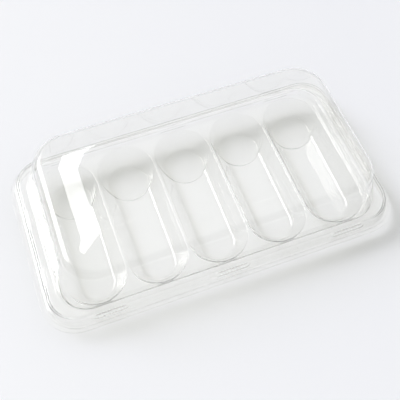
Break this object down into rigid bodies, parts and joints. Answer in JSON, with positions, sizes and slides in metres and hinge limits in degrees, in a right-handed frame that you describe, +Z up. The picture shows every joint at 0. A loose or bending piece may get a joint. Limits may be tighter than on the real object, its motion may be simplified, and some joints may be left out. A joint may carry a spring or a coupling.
{
  "type": "egg carton",
  "caption": "Clear formed egg carton: a tray of long round-ended pockets with a round well each, under a lift-off domed lid.",
  "frame": {"origin": "middle of the pack at table level, under the crossing of its two long centre planes", "axes": "+X across the pockets (the long way of the pack), +Y along each pocket towards its round well, +Z up"},
  "size_m": [0.2748, 0.1488, 0.0562],
  "materials": {
    "tray_sheet": "clear gloss",
    "lid_sheet": "clear gloss"
  },
  "bodies": {
    "tray": {"base_tray": "tray_sheet"},
    "lid": {"dome_lid": "lid_sheet"}
  },
  "joints": [
    {"name": "lid_lift", "type": "slide", "parent": "tray", "child": "lid", "axis": [0, 0, 1], "range_m": [0, 0.12]}
  ]
}
